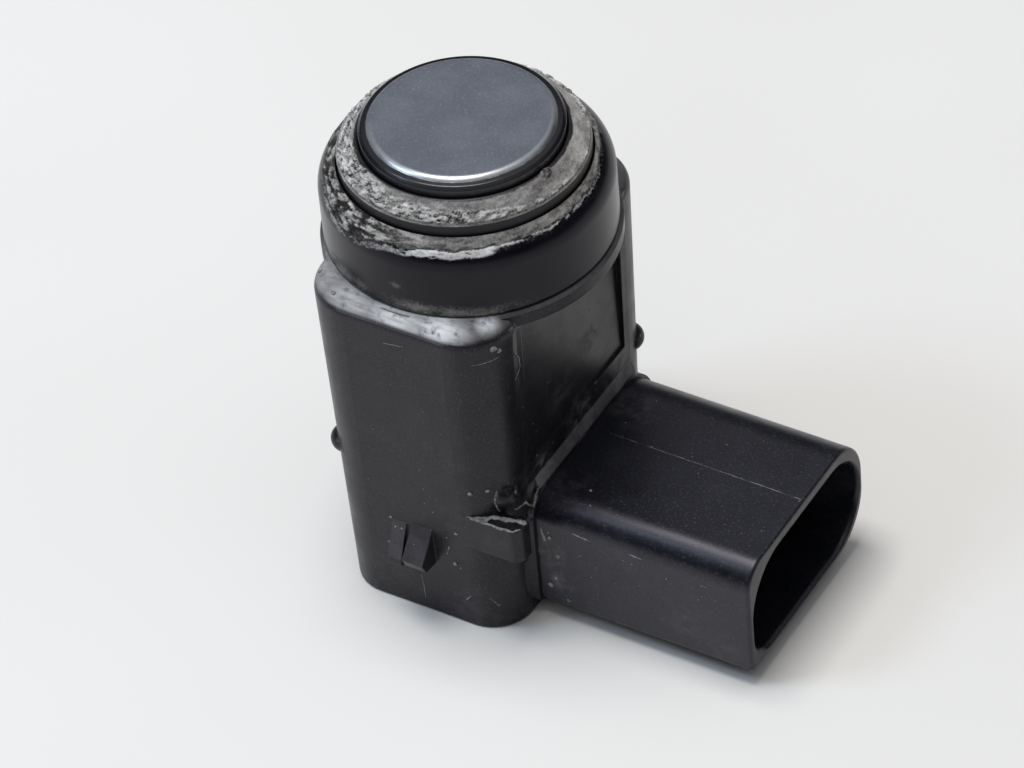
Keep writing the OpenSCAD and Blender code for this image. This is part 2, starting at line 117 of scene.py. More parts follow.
def vector_math(tree, operation, a, b=None):
    node = tree.nodes.new("ShaderNodeVectorMath")
    node.operation = operation
    join(tree, a, node.inputs[0])
    if b is not None:
        join(tree, b, node.inputs[1])
    return node.outputs["Value" if operation in ("DISTANCE", "LENGTH", "DOT_PRODUCT") else "Vector"]


def math_node(tree, operation, a, b):
    node = tree.nodes.new("ShaderNodeMath")
    node.operation = operation
    join(tree, a, node.inputs[0])
    join(tree, b, node.inputs[1])
    return node.outputs[0]


def place_mm(tree):
    where = tree.nodes.new("ShaderNodeTexCoord")
    return vector_math(tree, "MULTIPLY", where.outputs["Object"], (1 / MM, 1 / MM, 1 / MM))


def grain(tree, place, per_mm, detail=3.0, rough=0.55):
    texture = tree.nodes.new("ShaderNodeTexNoise")
    texture.inputs["Scale"].default_value = per_mm
    texture.inputs["Detail"].default_value = detail
    texture.inputs["Roughness"].default_value = rough
    tree.links.new(place, texture.inputs["Vector"])
    return texture.outputs["Fac"]


def band(tree, value, low, high, to_low=0.0, to_high=1.0):
    ramp = tree.nodes.new("ShaderNodeMapRange")
    ramp.interpolation_type = "SMOOTHSTEP"
    limits = {"From Min": low, "From Max": high, "To Min": to_low, "To Max": to_high}
    for name, number in limits.items():
        ramp.inputs[name].default_value = number
    tree.links.new(value, ramp.inputs["Value"])
    return ramp.outputs[0]


def blend_colour(tree, amount, under, over):
    node = tree.nodes.new("ShaderNodeMix")
    node.data_type = "RGBA"
    join(tree, amount, node.inputs[0])
    for value, socket in ((under, node.inputs[6]), (over, node.inputs[7])):
        join(tree, value if isinstance(value, bpy.types.NodeSocket) else (*value, 1), socket)
    return node.outputs[2]


def raise_grain(tree, height, strength, depth_mm, edge_mm=0):
    bump = tree.nodes.new("ShaderNodeBump")
    bump.inputs["Strength"].default_value = strength
    bump.inputs["Distance"].default_value = depth_mm * MM
    tree.links.new(height, bump.inputs["Height"])
    if edge_mm:
        edge = tree.nodes.new("ShaderNodeBevel")
        edge.samples = 6
        edge.inputs["Radius"].default_value = edge_mm * MM
        tree.links.new(edge.outputs[0], bump.inputs["Normal"])
    return bump.outputs[0]


print("shader helpers ready")

# %% [markdown]
# Dust doesn't lie evenly. It settles on faces that look one way and is rubbed off the rest, and a
# wiping finger or a splash leaves it in patches. So one helper masks by the direction of the
# surface, and another by a soft ball round a point of it, broken up by noise. Both stay where they
# are from every side.

# %% Where dust lies
def facing(tree, direction, low, high, which="Normal"):
    surface = tree.nodes.new("ShaderNodeNewGeometry")
    along = vector_math(tree, "DOT_PRODUCT", surface.outputs[which], direction)
    return band(tree, along, low, high)


def dust_patches(tree, place, spots, per_mm, low, high):
    total = None
    cloud = band(tree, grain(tree, place, per_mm, 5, 0.62), low, high)
    for centre, reach, amount in spots:
        near = band(tree, vector_math(tree, "DISTANCE", place, centre), 0, reach, amount, 0)
        total = near if total is None else math_node(tree, "MAXIMUM", total, near)
    return math_node(tree, "MULTIPLY", total, cloud)


print("dust helpers ready")

# %% [markdown]
# ## Black plastic under dust
# Housing and socket are moulded in filled black plastic. The plastic itself is almost black, and
# most of what the eye sees on it is the pale floor and the lamps, mirrored weakly by a finely
# grained skin. On top lies dust: an even film on the large faces, more of it on ledges that look
# up, and patches where spray has dried. On the rounded ledge in front, the dust and pale salt are
# also painted highlight, standing in for the window's gleam there. The thicker film on the lug's
# two sloping faces paints them lighter where the light falls. The rounded edges are rubbed
# clean, so they stay dark and catch the light. All this could be painted on an unwrapped picture,
# but noise and masks need no unwrapping and fit any face. The film asks for a face's true
# direction, because the smoothed one would carry it round the corners.

# %% The plastic recipe
dust_grey = (0.225, 0.218, 0.232)
cool_gleam = (0.95, 0.91, 1.0)
pale_dirt_and_highlight = (0.8, 0.81, 0.825)
toward_front, toward_top = (0, -1, 0), (0, 0, 1)
along_lug_strip, along_lug_block = (0, -0.913, 0.408), (0, -0.756, 0.655)
along_root = (0.925, 0, 0.38)
streak_scale = (0.35, 1.6, 2.6)
shaded_edge_mm = 0.14


def moulded_plastic(name, colour, roughness, specular, films_and_lit_faces, smears, salts_and_highlights,
                    skin_per_mm, skin_depth):
    finish, tree, shader = make_finish(name, roughness, specular, cool_gleam)
    place = place_mm(tree)
    drift = band(tree, grain(tree, place, 0.22, 2), 0.3, 0.7)
    body = blend_colour(tree, drift, [c * 0.8 for c in colour], [c * 1.2 for c in colour])
    speck = band(tree, grain(tree, place, 5.0, 2), 0.52, 0.78, 0, 0.15)
    cloud = band(tree, grain(tree, place, 0.45, 5, 0.62), 0.3, 0.75, 0.72, 1.25)
    dust = math_node(tree, "ADD", speck, dust_patches(tree, place, smears, 1.0, 0.4, 0.68))
    height = vector_math(tree, "DOT_PRODUCT", place, toward_top)
    # Each film is dust on faces that look one way. On the lug's sloping faces it is partly painted
    # light, making them lighter where light falls.
    for direction, low, high, amount, above in films_and_lit_faces:
        looks_there = facing(tree, direction, low, high, "True Normal")
        share = band(tree, height, above - 1, above, 0, amount)
        part = math_node(tree, "MULTIPLY", looks_there, share)
        dust = math_node(tree, "ADD", dust, math_node(tree, "MULTIPLY", part, cloud))
    # Pale dried salt on faces that look up; on the front ledge it is also painted highlight.
    upward = facing(tree, toward_top, 0.36, 0.58)
    pale = math_node(tree, "MULTIPLY", dust_patches(tree, place, salts_and_highlights, 1.3, 0.22, 0.5), upward)
    stretched = vector_math(tree, "MULTIPLY", place, streak_scale)
    layers = band(tree, grain(tree, stretched, 1.0, 4, 0.6), 0.36, 0.64)
    dried = blend_colour(tree, layers, [c * 0.62 for c in pale_dirt_and_highlight], pale_dirt_and_highlight)
    dusty_and_lit = blend_colour(tree, dust, body, dust_grey)
    tree.links.new(blend_colour(tree, pale, dusty_and_lit, dried), shader.inputs["Base Color"])
    wipe = band(tree, grain(tree, place, 0.5, 4, 0.6), 0.35, 0.7,
                roughness * 0.88, roughness * 1.12)
    dull = band(tree, math_node(tree, "ADD", dust, pale), 0, 0.5, 0, 0.4)
    tree.links.new(math_node(tree, "ADD", wipe, dull), shader.inputs["Roughness"])
    crust = math_node(tree, "MULTIPLY", pale, 3.0)
    skin = math_node(tree, "ADD", grain(tree, place, skin_per_mm, 3), crust)
    relief = raise_grain(tree, skin, 0.5, skin_depth, shaded_edge_mm)
    tree.links.new(relief, shader.inputs["Normal"])
    return finish


print("plastic recipe ready")

# %% [markdown]
# Each film is a direction, two limits for how well a face must look that way, an amount and the
# height it begins at. Smears and dried salt are balls: a centre in millimetres, a reach and an
# amount. On the housing the smears lie on the side of the socket and near the foot, and the salt
# lies on the ledge in front and on the shelf. On the ledge, the film on faces that look up and the
# pale salt are partly painted highlight: they stand in for the window's gleam on the rounded edge.
# The films on the lug's two sloping faces are partly painted light too: dust made thicker, so that
# those faces come out lighter where light falls on them.

# %% Housing and socket plastic
housing_films_and_lit_faces = [
    # The film on faces that look up, from about 28 mm, lies on the front ledge: dust that is also
    # painted highlight there.
    (toward_front, 0.93, 0.995, 0.034, 0), (toward_top, 0.4, 0.8, 0.42, 28),
    # Lug films: thicker dust that paints the sloping faces lighter where light falls: partly
    # painted light.
    (along_lug_strip, 0.985, 0.998, 0.34, 0), (along_lug_block, 0.985, 0.998, 0.2, 0),
    (along_root, 0.985, 0.998, 0.7, 0)]
housing_smears = [
    ((7.6, 2.8, 19.4), 2.9, 0.3), ((7.6, -1.5, 17.0), 3.0, 0.16), ((7.6, 3.5, 26.0), 3.0, 0.14),
    ((7.9, -6.0, 12.5), 3.0, 0.8), ((7.7, -8.2, 13.4), 2.2, 0.3), ((7.9, 0.5, 12.6), 3.6, 0.7),
    ((7.9, 6.0, 12.4), 3.4, 0.5), ((2.9, -11.5, 10.6), 2.4, 0.12), ((4.0, -11.2, 2.2), 3.5, 0.16),
    ((-3.0, -11.2, 3.0), 3.0, 0.1), ((6.9, -11.5, 10.3), 2.2, 0.1)]
# Spots near 30 mm lie on the ledge: pale dried salt that is also painted highlight. The two lower
# ones are dried salt on the shelf.
housing_salts_and_highlight = [
    ((-7.2, -9.6, 30.0), 4.0, 0.4), ((-3.6, -11.6, 30.0), 4.0, 0.62),
    ((0.6, -11.7, 30.0), 4.5, 1.0), ((3.6, -11.2, 30.0), 3.6, 1.0),
    ((6.6, -9.3, 29.9), 1.4, 0.95), ((5.3, -11.5, 11.85), 1.1, 0.9), ((7.9, -9.0, 12.2), 0.9, 0.7)]
housing_plastic = moulded_plastic("housing_plastic", (0.0092, 0.0082, 0.0112), 0.36, 0.31,
                                  housing_films_and_lit_faces, housing_smears, housing_salts_and_highlight, 6.0, 0.012)
shroud_films = [(toward_front, 0.965, 0.995, 0.03, 0)]
shroud_smears = [
    ((9.2, -7.8, 6.6), 2.0, 0.75), ((9.9, -7.8, 4.2), 1.8, 0.6), ((21.0, -7.8, 4.6), 3.4, 0.2),
    ((23.5, -7.8, 3.0), 2.6, 0.16), ((15.0, -7.8, 9.0), 2.4, 0.1), ((9.4, -4.5, 11.6), 2.6, 0.12),
    ((9.6, 4.5, 11.6), 3.4, 0.16)]
shroud_salts = [
    ((9.1, -7.8, 8.7), 0.8, 0.8), ((9.3, -7.8, 3.4), 0.7, 0.8), ((10.6, -7.8, 2.3), 0.6, 0.6),
    ((12.2, -7.75, 9.4), 0.5, 0.5)]
shroud_plastic = moulded_plastic("shroud_plastic", (0.0066, 0.0076, 0.0124), 0.34, 0.48,
                                 shroud_films, shroud_smears, shroud_salts, 4.0, 0.005)
print("plastics:", housing_plastic.name, shroud_plastic.name)

# %% [markdown]
# ## Softened edges
# No moulded edge is razor sharp. The large rounds are in the solids already. The rim of the
# socket's mouth and the foot of the housing get a cut bevel here, because their light lines show
# from far away. A bevel on every edge would break where small shapes meet, so the other edges are
# only shaded round by the finish. Each copy stands in for its solid in pictures only.

# %% Housing and socket with soft edges
def outer_rim(work, axis, level):
    def runs_along(edge):
        on_level = all(abs(v.co[axis] / MM - level) < 0.01 for v in edge.verts)
        slants = sorted(abs(face.normal[axis]) for face in edge.link_faces)
        return on_level and len(slants) == 2 and slants[0] < 0.1 and slants[1] > 0.99

    return [edge for edge in work.edges if runs_along(edge)]


flat_angle, sharp_angle = math.radians(0.5), math.radians(20)


def soften(node, name, axis, level, rim_mm, finish):
    mesh = solids[node].data.copy()
    work = bmesh.new()
    work.from_mesh(mesh)
    bmesh.ops.remove_doubles(work, verts=work.verts, dist=0.002 * MM)
    bmesh.ops.dissolve_limit(work, angle_limit=flat_angle, verts=work.verts, edges=work.edges)
    rim = outer_rim(work, axis, level)
    bmesh.ops.bevel(work, geom=rim, offset=rim_mm * MM, offset_type="OFFSET", segments=3,
                    profile=0.5, affect="EDGES", clamp_overlap=False)
    work.to_mesh(mesh)
    work.free()
    mesh.materials.clear()
    mesh.materials.append(finish)
    mesh.shade_smooth()
    mesh.set_sharp_from_angle(angle=sharp_angle)
    piece = bpy.data.objects.new(name, mesh)
    bpy.context.collection.objects.link(piece)
    even = piece.modifiers.new("even shading", "WEIGHTED_NORMAL")
    even.keep_sharp = True
    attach(piece, "root")
    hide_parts(node)
    print(name, "faces:", len(mesh.polygons), "rim edges:", len(rim))
    return piece


mouth_x, foot_z = solid_box[1][0] / MM, solid_box[0][2] / MM
housing_shell = soften("housing", "housing_shell", 2, foot_z, 0.22,
                       housing_plastic)
socket_shell = soften("connector_shroud", "socket_shell", 0, mouth_x, 0.3,
                      shroud_plastic)

# %% [markdown]
# ## Turned pieces
# Membrane, rubber ring and collar are all round about the head's axis, so each is turned from an
# outline, as on a lathe. An outline is a list of corners in millimetres: radius, height, and how
# far the corner is rounded. The runs between corners are cut short where the surface will carry
# dirt. A screw modifier turns an outline as well, but in mesh code each point can be pushed out by
# its own height of dirt.

# %% Outline helper
round_steps = 6


def soft_outline(corners, step, fine_step=None, is_fine=None):
    points = []
    count = len(corners)
    for i, (r, z, radius) in enumerate(corners):
        here = Vector((r, z))
        if radius == 0:
            points.append(here)
            continue
        to_before = (Vector(corners[i - 1][:2]) - here).normalized()
        to_after = (Vector(corners[(i + 1) % count][:2]) - here).normalized()
        half = to_before.angle(to_after) / 2
        reach = radius / math.tan(half)
        middle = here + (to_before + to_after).normalized() * (radius / math.sin(half))
        start = here + to_before * reach - middle
        turn = start.angle_signed(here + to_after * reach - middle)
        points += [middle + Matrix.Rotation(-turn * k / round_steps, 2) @ start
                   for k in range(round_steps + 1)]
    cut = []
    for i, point in enumerate(points):
        following = points[(i + 1) % len(points)]
        longest = fine_step if is_fine and is_fine((point + following) / 2) else step
        pieces = max(1, math.ceil((following - point).length / longest))
        cut += [point.lerp(following, k / pieces) for k in range(pieces)]
    return cut


square = [(1, 0, 0.2), (2, 0, 0.2), (2, 1, 0.2), (1, 1, 0.2)]
print("a square with soft corners has", len(soft_outline(square, 1)), "points")

# %% Lathe helper
full_turn = 2 * math.pi
plain_turns, fine_turns = 240, 600


def turned_piece(name, outline, turns, finish, node, dirt_and_painted_light=None):
    work = bmesh.new()
    layers = [work.verts.layers.float.new(kind) for kind in ("dirt_and_painted_light", "tone")]
    count = len(outline)
    rings = []
    for k in range(turns):
        angle = full_turn * k / turns - math.pi
        out = Vector((math.cos(angle), math.sin(angle), 0))
        ring = []
        for i, (r, z) in enumerate(outline):
            along = outline[(i + 1) % count] - outline[i - 1]
            push = Vector((along.y, -along.x)).normalized()
            height, *shares = dirt_and_painted_light(angle, r, z, push) if dirt_and_painted_light else (0, 0, 0)
            upward = Vector((0, 0, z + push.y * height))
            vertex = work.verts.new((out * (r + push.x * height) + upward) * MM)
            for layer, share in zip(layers, shares):
                vertex[layer] = share
            ring.append(vertex)
        rings.append(ring)
    for k in range(turns):
        here, there = rings[k], rings[(k + 1) % turns]
        for i in range(count):
            j = (i + 1) % count
            work.faces.new((here[i], there[i], there[j], here[j]))
    on_axis = [v for v in work.verts if v.co.xy.length < 1e-7]
    bmesh.ops.remove_doubles(work, verts=on_axis, dist=1e-7)
    bmesh.ops.dissolve_degenerate(work, dist=1e-8, edges=work.edges)
    bmesh.ops.recalc_face_normals(work, faces=work.faces)
    mesh = bpy.data.meshes.new(name)
    work.to_mesh(mesh)
    work.free()
    mesh.shade_smooth()
    mesh.materials.append(finish)
    piece = bpy.data.objects.new(name, mesh)
    bpy.context.collection.objects.link(piece)
    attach(piece, "root")
    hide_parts(node)
    print(name, "faces:", len(mesh.polygons))


print("lathe ready")

# %% [markdown]
# ## The membrane
# The membrane is the floor of an aluminium cup, painted blue-grey in the middle. From a radius of
# about 7 mm outwards, over the lower border and down the side wall, it is coloured near black. On
# the side wall, in the gap under the lip, that black is painted shade. Between the middle and the
# border the disc rounds off, and there the paint is rubbed down to the metal, so that the round
# catches the lamp as a bright arc. The wear is a mask by distance from the axis, strongest in
# front, so paint and bare metal share one finish. The satin paint has a faint orange-peel and a
# sprinkle of pale dust.

# %% Membrane paint
membrane_paint, paint_tree, paint_shader = make_finish("membrane_paint", 0.34, 0.5)
paint_place = place_mm(paint_tree)
paint_drift = band(paint_tree, grain(paint_tree, paint_place, 0.3, 3), 0.35, 0.7)
paint_body = blend_colour(paint_tree, paint_drift, (0.102, 0.110, 0.136), (0.126, 0.134, 0.162))
paint_dust = band(paint_tree, grain(paint_tree, paint_place, 4.5, 3, 0.75), 0.5, 0.8, 0, 0.5)
paint_dusty = blend_colour(paint_tree, paint_dust, paint_body, (0.30, 0.31, 0.33))
flat_place = vector_math(paint_tree, "MULTIPLY", paint_place, (1, 1, 0))
from_axis = vector_math(paint_tree, "LENGTH", flat_place)
wobble = band(paint_tree, grain(paint_tree, paint_place, 1.4, 4), 0.3, 0.7, -0.015, 0.015)
edge_place = math_node(paint_tree, "ADD", from_axis, wobble)
# From about 7 mm out the cup is coloured near black, over the border and down the side wall. On the
# side wall, in the gap under the lip, the black is painted shade.
black_edge = band(paint_tree, edge_place, 6.95, 7.03)
from_front = vector_math(paint_tree, "DISTANCE", paint_place, (4.2, -4.8, 40))
wear_front = band(paint_tree, from_front, 6.5, 11.0, 1, 0)
wear = math_node(paint_tree, "MULTIPLY", band(paint_tree, from_axis, 6.44, 6.8), wear_front)
bare_metal = math_node(paint_tree, "MULTIPLY", wear, band(paint_tree, black_edge, 0, 1, 1, 0))
paint_worn = blend_colour(paint_tree, bare_metal, paint_dusty, (0.44, 0.45, 0.47))
paint_tree.links.new(blend_colour(paint_tree, black_edge, paint_worn, (0.010, 0.010, 0.013)),
                     paint_shader.inputs["Base Color"])
paint_tree.links.new(bare_metal, paint_shader.inputs["Metallic"])
paint_gloss = band(paint_tree, grain(paint_tree, paint_place, 1.2, 3), 0.3, 0.7, 0.30, 0.38)
edge_gloss = band(paint_tree, black_edge, 0, 1, 0, 0.12)
paint_tree.links.new(math_node(paint_tree, "SUBTRACT", paint_gloss, edge_gloss),
                     paint_shader.inputs["Roughness"])
paint_tree.links.new(raise_grain(paint_tree, grain(paint_tree, paint_place, 5.0, 2), 0.3, 0.006),
                     paint_shader.inputs["Normal"])
print("paint:", membrane_paint.name)

# %% Membrane cup
cup_outline = soft_outline([
    (0, 39.998, 0), (6.72, 39.998, 0.7), (6.99, 39.72, 0.1), (7.36, 39.66, 0.22),
    (7.6, 39.42, 0.12), (7.6, 31.3, 0), (6.6, 31.3, 0), (6.6, 39.2, 0), (0, 39.2, 0)], 0.9)
turned_piece("membrane_face", cup_outline, plain_turns, membrane_paint,
             "membrane_cup")

# %% [markdown]
# ## Dried dirt
# Years of spray have left dirt on the rubber ring and on the collar's shoulder: a smooth grey film
# in some places, and in others a crust of dried crumbs with black cracks. Paint alone would look
# flat, so the crust is real relief, made on the lathe. Two numbers are stored with every point of
# the mesh: how much it is covered, and how pale the cover is. Most of that cover is dirt, but on
# the collar it also paints a highlight and on the ring some shade, as told below. The finish turns
# them into colour. The noise is stretched round the axis, because wiping and driving spray leave
# streaks that way.

# %% Noise for the dirt
streak_r, collar_r = 9.5, 10.95


def by_direction(angle, table):
    (first, first_value), (last, last_value) = table[0], table[-1]
    stops = [(last - full_turn, last_value), *table, (first + full_turn, first_value)]
    for (a, low), (b, high) in zip(stops, stops[1:]):
        if a <= angle <= b:
            return low + (high - low) * (angle - a) / (b - a)
    return first_value


def smooth(low, high, value):
    t = min(max((value - low) / (high - low), 0), 1)
    return t * t * (3 - 2 * t)


def streaks(angle, r, z, per_mm, seed, stretch=0.5):
    round_axis = streak_r * stretch
    spot = Vector((math.cos(angle) * round_axis, math.sin(angle) * round_axis, r * 1.1 - z * 0.7))
    return noise.fractal(spot * per_mm + Vector((seed, 2.3 * seed, 0.7 * seed)), 0.8, 2.1, 4)


def hump(value, middle, width):
    return math.exp(-((value - middle) / width) ** 2)


def blot(angle, z, at_angle, at_z, wide, tall):
    off = (angle - at_angle + math.pi) % full_turn - math.pi
    return hump(off * collar_r, 0, wide) * hump(z, at_z, tall)


print("sample of the streaks:", [round(streaks(a, 9, 38, 1.5, 1), 2) for a in (-2, -1, 0, 1)])

# %% Finish under dirt
def stored(tree, kind):
    share = tree.nodes.new("ShaderNodeAttribute")
    share.attribute_name = kind
    return share.outputs["Fac"]


dirt_tones = [(0.0, (0.010, 0.0097, 0.0095)), (0.25, (0.066, 0.063, 0.060)),
              (0.5, (0.235, 0.229, 0.22)), (0.75, (0.465, 0.458, 0.448)), (1.0, (0.77, 0.78, 0.8))]


def dirty_finish(name, clean, roughness, specular):
    finish, tree, shader = make_finish(name, roughness, specular, cool_gleam)
    place = place_mm(tree)
    ragged = band(tree, grain(tree, place, 5.0, 3), 0.3, 0.7, -0.12, 0.12)
    cover = band(tree, math_node(tree, "ADD", stored(tree, "dirt_and_painted_light"), ragged), 0.12, 0.85)
    body = blend_colour(tree, band(tree, grain(tree, place, 0.5, 3), 0.35, 0.7),
                        [c * 0.75 for c in clean], [c * 1.25 for c in clean])
    fine = band(tree, grain(tree, place, 6.0, 4, 0.65), 0.25, 0.75, -0.1, 0.1)
    ramp = tree.nodes.new("ShaderNodeValToRGB")
    stops = ramp.color_ramp.elements
    for at, _ in dirt_tones[1:-1]:
        stops.new(at)
    for stop, (at, colour) in zip(stops, dirt_tones):
        stop.position, stop.color = at, (*colour, 1)
    tree.links.new(math_node(tree, "ADD", stored(tree, "tone"), fine), ramp.inputs["Fac"])
    dirty = blend_colour(tree, cover, body, ramp.outputs["Color"])
    tree.links.new(dirty, shader.inputs["Base Color"])
    tree.links.new(band(tree, cover, 0, 0.6, roughness, 0.7), shader.inputs["Roughness"])
    depth = band(tree, cover, 0, 1, 0.15, 1)
    relief = math_node(tree, "MULTIPLY", grain(tree, place, 5.0, 4, 0.7), depth)
    tree.links.new(raise_grain(tree, relief, 0.6, 0.05), shader.inputs["Normal"])
    return finish


ring_rubber = dirty_finish("ring_rubber", (0.013, 0.0125, 0.0135), 0.42, 0.4)
collar_plastic = dirty_finish("collar_plastic", (0.0052, 0.0047, 0.0078), 0.25, 0.24)
print("dirty finishes:", ring_rubber.name, collar_plastic.name)

# %% [markdown]
# The ring's top slopes outwards. Its inner lip is left bare, so it is black rubber, and that black
# also stands in for the shade beside the cup: partly painted shade. From there a film of dust
# begins. Crumbs crowd towards the outer edge in front and cover the whole slope on the left, while
# the right side is only smeared. Just inside the outer lip, a thin dark line is painted shade of a
# groove that the mesh does not have. The outer lip is scraped pale. Short tables by direction round
# the axis say where the crumbs begin and how pale the dirt is, because noise alone wouldn't put
# them there.

# %% Rubber ring
ring_in, ring_out, slope_low = 7.65, 9.35, 36.9
ring_crust_top = 0.24
crumb_start = [(-2.9, 0.3), (-2.4, 0.14), (-1.95, 0.2), (-1.6, 0.38), (-1.1, 0.52), (-0.75, 0.6),
               (-0.45, 0.86), (0.3, 0.95), (0.9, 0.7), (1.8, 0.45), (2.5, 0.36)]
ring_paleness = [(-2.5, 0.56), (-1.9, 0.52), (-1.3, 0.47), (-0.8, 0.45), (-0.2, 0.47), (0.5, 0.60),
                 (1.2, 0.55), (2.4, 0.5)]


def ring_dirt_and_shade(angle, r, z, push):
    if push.y < 0.2 or z < slope_low:
        return 0, 0, 0
    across = (r - ring_in) / (ring_out - ring_in)
    broad, middle, small = (streaks(angle, r, z, per_mm, seed)
                            for per_mm, seed in ((0.8, 1), (1.9, 2), (3.6, 3)))
    # Inside the lip the ring is left bare black rubber, which also stands in for the shade beside
    # the cup: partly painted shade.
    lip = 0.16 + 0.07 * broad
    cover = smooth(lip - 0.05, lip + 0.1, across)
    paleness = by_direction(angle, ring_paleness)
    tone = paleness + 0.13 * broad + 0.12 * middle + 0.05 * small
    start = by_direction(angle, crumb_start) + 0.12 * streaks(angle, 9, 38, 0.9, 4)
    crumbly = smooth(start - 0.08, start + 0.08, across + 0.06 * middle) * smooth(0.96, 0.9, across)
    clump = streaks(angle, r, z, 1.9, 5, 0.75) + 0.4 * small
    lump = smooth(-0.2, 0.25, clump)
    crack = smooth(0.13, 0.02, abs(clump + 0.06)) * smooth(-0.35, 0.05, broad + 0.4 * middle)
    crackle = smooth(0.1, 0.02, abs(streaks(angle, r, z, 2.6, 6, 0.9)))
    crust_tone = paleness + 0.04 + 0.17 * lump + 0.24 * small - 0.6 * crack - 0.34 * crackle
    tone += (crust_tone - tone) * crumbly
    # A thin dark line near the outer edge: painted shade of a groove that the mesh does not have.
    painted_groove_shade = hump(across, 0.93, 0.02)
    tone += (0.12 - tone) * 0.8 * painted_groove_shade
    clod = hump(angle, -0.19, 0.055) * hump(across, 0.2, 0.17)
    tone += (0.1 + 0.3 * smooth(0, 0.3, small) - tone) * smooth(0.25, 0.5, clod)
    height = cover * 0.015 + crumbly * (0.02 + 0.13 * lump) * (1 - 0.9 * crack)
    height += 0.02 * small * cover
    height = min(height + 0.16 * clod * (1 + small), ring_crust_top)
    return height, max(cover, smooth(0.2, 0.4, clod)), tone


ring_outline = soft_outline([
    (6.6, 30.2, 0), (8.55, 30.2, 0), (8.55, 31.6, 0), (ring_out, 31.6, 0), (ring_out, slope_low, 0),
    (ring_out, 37.6, 0.22), (ring_in, 39.0, 0.16), (ring_in, 37.0, 0), (ring_in, 31.3, 0),
    (6.6, 31.3, 0)], 1.6, 0.08, lambda point: point.x > 7.7 and point.y > 37.2)
turned_piece("rubber_ring", ring_outline, fine_turns, ring_rubber,
             "decoupling_ring", ring_dirt_and_shade)

# %% [markdown]
# The collar is glossier than the housing, and its wall is clean enough to look black. On the
# rounded shoulder lies a grey film that ends in a ragged black rim, lower on the left than in
# front. Under the rim salt has dried white. In front, strongest where the lamp's gleam falls on
# the shoulder, this white is also painted highlight. Splashes have left a faint grey bloom low on
# the wall. The end of the film is given in degrees up the round of the shoulder, for a few
# directions round the axis.

# %% Collar
bore_r, parting_z, wall_foot, wall_cut = 9.45, 30.2, 30.4, 0.16
collar_crust_top = 0.16
shoulder_r, shoulder_z, shoulder_mid = 2.4, 34.5, 8.55
degrees_per_mm = 24
film_end = [(-2.9, 40), (-2.4, 40), (-2.2, 28), (-2.0, 16), (-1.85, 22), (-1.75, 31), (-1.54, 38),
            (-1.34, 41), (-0.9, 44), (-0.5, 46), (0.16, 49), (0.4, 56), (1.2, 50), (2.2, 44)]
# How strong the white under the rim is, by direction: dried salt, and in front painted highlight.
salt_and_highlight_strength = [(-2.6, 0.2), (-2.2, 0.5), (-1.8, 0.35), (-1.45, 0.55), (-1.36, 1.0), (-0.9, 1.0),
                 (-0.82, 0.62), (0.0, 0.45), (0.5, 0.2), (2.0, 0.2)]
mottle = [(-2.9, 0.7), (-2.3, 1.05), (-1.8, 1.0), (-1.5, 0.35), (-1.0, 0.1), (0.0, 0.2), (1.2, 0.4),
          (2.4, 0.5)]
bloom_spots = [(0.95, -2.12, 31.0, 1.2, 0.8), (0.75, -1.9, 30.9, 1.7, 0.6),
               (0.6, -1.55, 32.6, 0.6, 0.35), (0.72, -1.38, 30.8, 3.0, 0.65),
               (0.7, -0.95, 30.7, 3.2, 0.55)]


def collar_dirt_and_highlight(angle, r, z, push):
    if z < parting_z + 0.1 or r < bore_r + 0.01:
        return 0, 0, 0
    broad, middle, small = (streaks(angle, r, z, per_mm, seed)
                            for per_mm, seed in ((0.8, 11), (1.7, 12), (3.4, 13)))
    climb = (z - shoulder_z) * degrees_per_mm
    if z > shoulder_z:
        climb = math.degrees(math.atan2(z - shoulder_z, r - shoulder_mid))
    end = by_direction(angle, film_end) + 3.5 * streaks(angle, 9, 38, 1.6, 14) + 2.5 * small
    cover = smooth(end - 1.5, end + 2.5, climb)
    lump = smooth(-0.2, 0.24, middle + 0.4 * small)
    patchy = by_direction(angle, mottle)
    crackle = smooth(0.1, 0.02, abs(streaks(angle, r, z, 2.0, 15, 0.8)))
    tone = 0.41 + 0.1 * broad + 0.1 * middle
    tone += patchy * (0.4 * lump - 0.27 + 0.26 * small - 0.36 * crackle)
    seam = hump(climb, end + 1.5, 2.2) * smooth(-0.2, 0.15, small + 0.5 * middle)
    tone += (0.06 - tone) * 0.9 * seam
    # The white under the rim is dried salt and, strongest in front, painted highlight of the lamp
    # on the shoulder.
    strength = by_direction(angle, salt_and_highlight_strength)
    salt_and_highlight = strength * smooth(end - 17, end - 11, climb) * smooth(end + 0.5, end - 2.5, climb)
    thin = 1 - 0.75 * smooth(-0.9, -0.78, angle) * smooth(end - 4, end - 8, climb)
    salt_and_highlight *= thin * smooth(-0.5, 0.12, small + 0.4 * broad + 0.55 * (strength - 0.5))
    bloom = sum(amount * blot(angle, z, *spot) for amount, *spot in bloom_spots)
    bloom *= 0.75 + 0.5 * broad + 0.4 * middle
    height = cover * 0.02 * (1 - seam) + (patchy * lump * cover * 0.1)
    height += 0.03 * salt_and_highlight + 0.01 * small * cover
    if salt_and_highlight > max(cover, bloom):
        return min(height, collar_crust_top), salt_and_highlight, 0.78 + 0.2 * lump * salt_and_highlight
    return min(max(height, 0), collar_crust_top), max(cover, bloom), tone if cover > bloom else 0.47


